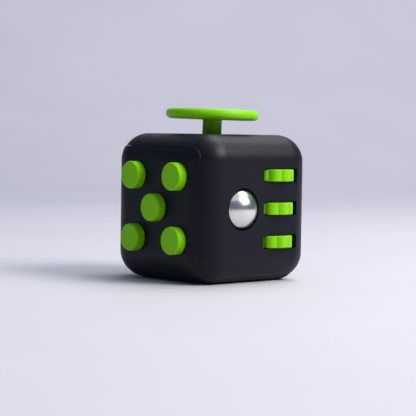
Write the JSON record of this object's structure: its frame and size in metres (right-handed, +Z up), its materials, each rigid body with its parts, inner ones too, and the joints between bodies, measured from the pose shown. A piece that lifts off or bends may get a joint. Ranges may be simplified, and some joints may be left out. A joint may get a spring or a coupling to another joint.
{
  "type": "fidget cube",
  "caption": "Palm-sized desk cube with a different thing to press, roll, tilt, flip, spin or rub on each face, in a split black case with lime controls.",
  "frame": {"origin": "centre of the flat underside that the cube rests on", "axes": "+Z up out of the thumb stick's face, -Y out of the buttons' face, +X out of the face with the wheels and the ball"},
  "size_m": [0.038, 0.0374, 0.039],
  "materials": {
    "case_plastic": "fine soft matte moulding texture",
    "lime_plastic": "satin to gloss, moulded in colour",
    "inner_plastic": "plain unpainted moulding",
    "ball_steel": "polished bearing ball",
    "screw_steel": "zinc plated",
    "spring_steel": "bright rolled sheet",
    "silicone": "translucent grey silicone",
    "washer_fibre": "smooth vulcanised fibre"
  },
  "bodies": {
    "case": {"upper_shell": "case_plastic", "lower_shell": "case_plastic", "case_screws": "screw_steel", "thumb_pad": "case_plastic", "click_backplate": "inner_plastic", "click_backplate_screws": "screw_steel", "snap_domes": "spring_steel", "silicone_domes": "silicone", "stick_bracket": "inner_plastic", "stick_bracket_screws": "screw_steel", "stick_diaphragm": "silicone", "wheel_cradle": "inner_plastic", "wheel_cradle_screws": "screw_steel", "wheel_axle": "screw_steel", "ball_snap_dome": "spring_steel", "ball_housing": "inner_plastic", "ball_housing_screws": "screw_steel", "rocker_frame": "inner_plastic", "rocker_frame_screws": "screw_steel", "rocker_leaf_spring": "spring_steel", "dial_washer": "washer_fibre"},
    "stick_ring": {"stick_ring": "inner_plastic"},
    "stick": {"stick_pin": "screw_steel", "stick_post": "case_plastic", "stick_disc": "lime_plastic"},
    "ball_cup": {"ball_cup": "inner_plastic"},
    "ball": {"ball": "ball_steel"},
    "rocker": {"rocker": "lime_plastic"},
    "dial": {"spin_dial": "lime_plastic", "dial_clip": "inner_plastic", "dial_screw": "screw_steel"},
    "button_middle": {"button_middle": "lime_plastic"},
    "button_top_left": {"button_top_left": "lime_plastic"},
    "button_top_right": {"button_top_right": "lime_plastic"},
    "button_bottom_left": {"button_bottom_left": "lime_plastic"},
    "button_bottom_right": {"button_bottom_right": "lime_plastic"},
    "wheel_bottom": {"wheel_bottom": "lime_plastic"},
    "wheel_middle": {"wheel_middle": "lime_plastic"},
    "wheel_top": {"wheel_top": "lime_plastic"}
  },
  "joints": [
    {"name": "button_middle_press", "type": "slide", "parent": "case", "child": "button_middle", "axis": [0, 1, 0], "range_m": [0, 0.0009], "stiffness_N_per_m": 1500, "deforming": ["snap_domes"]},
    {"name": "button_top_left_press", "type": "slide", "parent": "case", "child": "button_top_left", "axis": [0, 1, 0], "range_m": [0, 0.0009], "stiffness_N_per_m": 1500, "deforming": ["snap_domes"]},
    {"name": "button_top_right_press", "type": "slide", "parent": "case", "child": "button_top_right", "axis": [0, 1, 0], "range_m": [0, 0.0009], "stiffness_N_per_m": 1500, "deforming": ["snap_domes"]},
    {"name": "button_bottom_left_press", "type": "slide", "parent": "case", "child": "button_bottom_left", "axis": [0, 1, 0], "range_m": [0, 0.0009], "stiffness_N_per_m": 1000, "deforming": ["silicone_domes"]},
    {"name": "button_bottom_right_press", "type": "slide", "parent": "case", "child": "button_bottom_right", "axis": [0, 1, 0], "range_m": [0, 0.0009], "stiffness_N_per_m": 1000, "deforming": ["silicone_domes"]},
    {"name": "wheel_bottom_turn", "type": "hinge", "parent": "case", "child": "wheel_bottom", "pos_m": [0.01346, 0.006, 0.0092], "axis": [0, 0, 1], "continuous": true},
    {"name": "wheel_middle_turn", "type": "hinge", "parent": "case", "child": "wheel_middle", "pos_m": [0.01346, 0.006, 0.01665], "axis": [0, 0, 1], "continuous": true},
    {"name": "wheel_top_turn", "type": "hinge", "parent": "case", "child": "wheel_top", "pos_m": [0.01346, 0.006, 0.0241], "axis": [0, 0, 1], "continuous": true},
    {"name": "ball_press", "type": "slide", "parent": "case", "child": "ball_cup", "axis": [-1, 0, 0], "range_m": [0, 0.0008], "stiffness_N_per_m": 2000, "deforming": ["ball_snap_dome"]},
    {"name": "ball_roll", "type": "hinge", "parent": "ball_cup", "child": "ball", "pos_m": [0.01365, -0.0054, 0.01665], "axis": [0, 0, 1], "continuous": true},
    {"name": "stick_tilt_front_back", "type": "hinge", "parent": "case", "child": "stick_ring", "pos_m": [-0.0002, -0.00022, 0.0269], "axis": [1, 0, 0], "range_deg": [-9.18, 10.82], "stiffness_Nm_per_rad": 0.09, "deforming": ["stick_diaphragm"]},
    {"name": "stick_tilt_left_right", "type": "hinge", "parent": "stick_ring", "child": "stick", "pos_m": [-0.0002, -0.00022, 0.0269], "axis": [0, 0.9999, -0.0143], "range_deg": [-10.74, 9.26], "stiffness_Nm_per_rad": 0.09, "deforming": ["stick_diaphragm"]},
    {"name": "rocker_flip", "type": "hinge", "parent": "case", "child": "rocker", "pos_m": [0, 0.0141, 0.01665], "axis": [1, 0, 0], "range_deg": [-20, 0], "deforming": ["rocker_leaf_spring"]},
    {"name": "dial_spin", "type": "hinge", "parent": "case", "child": "dial", "pos_m": [-0.018, 0, 0.01665], "axis": [1, 0, 0], "continuous": true}
  ]
}
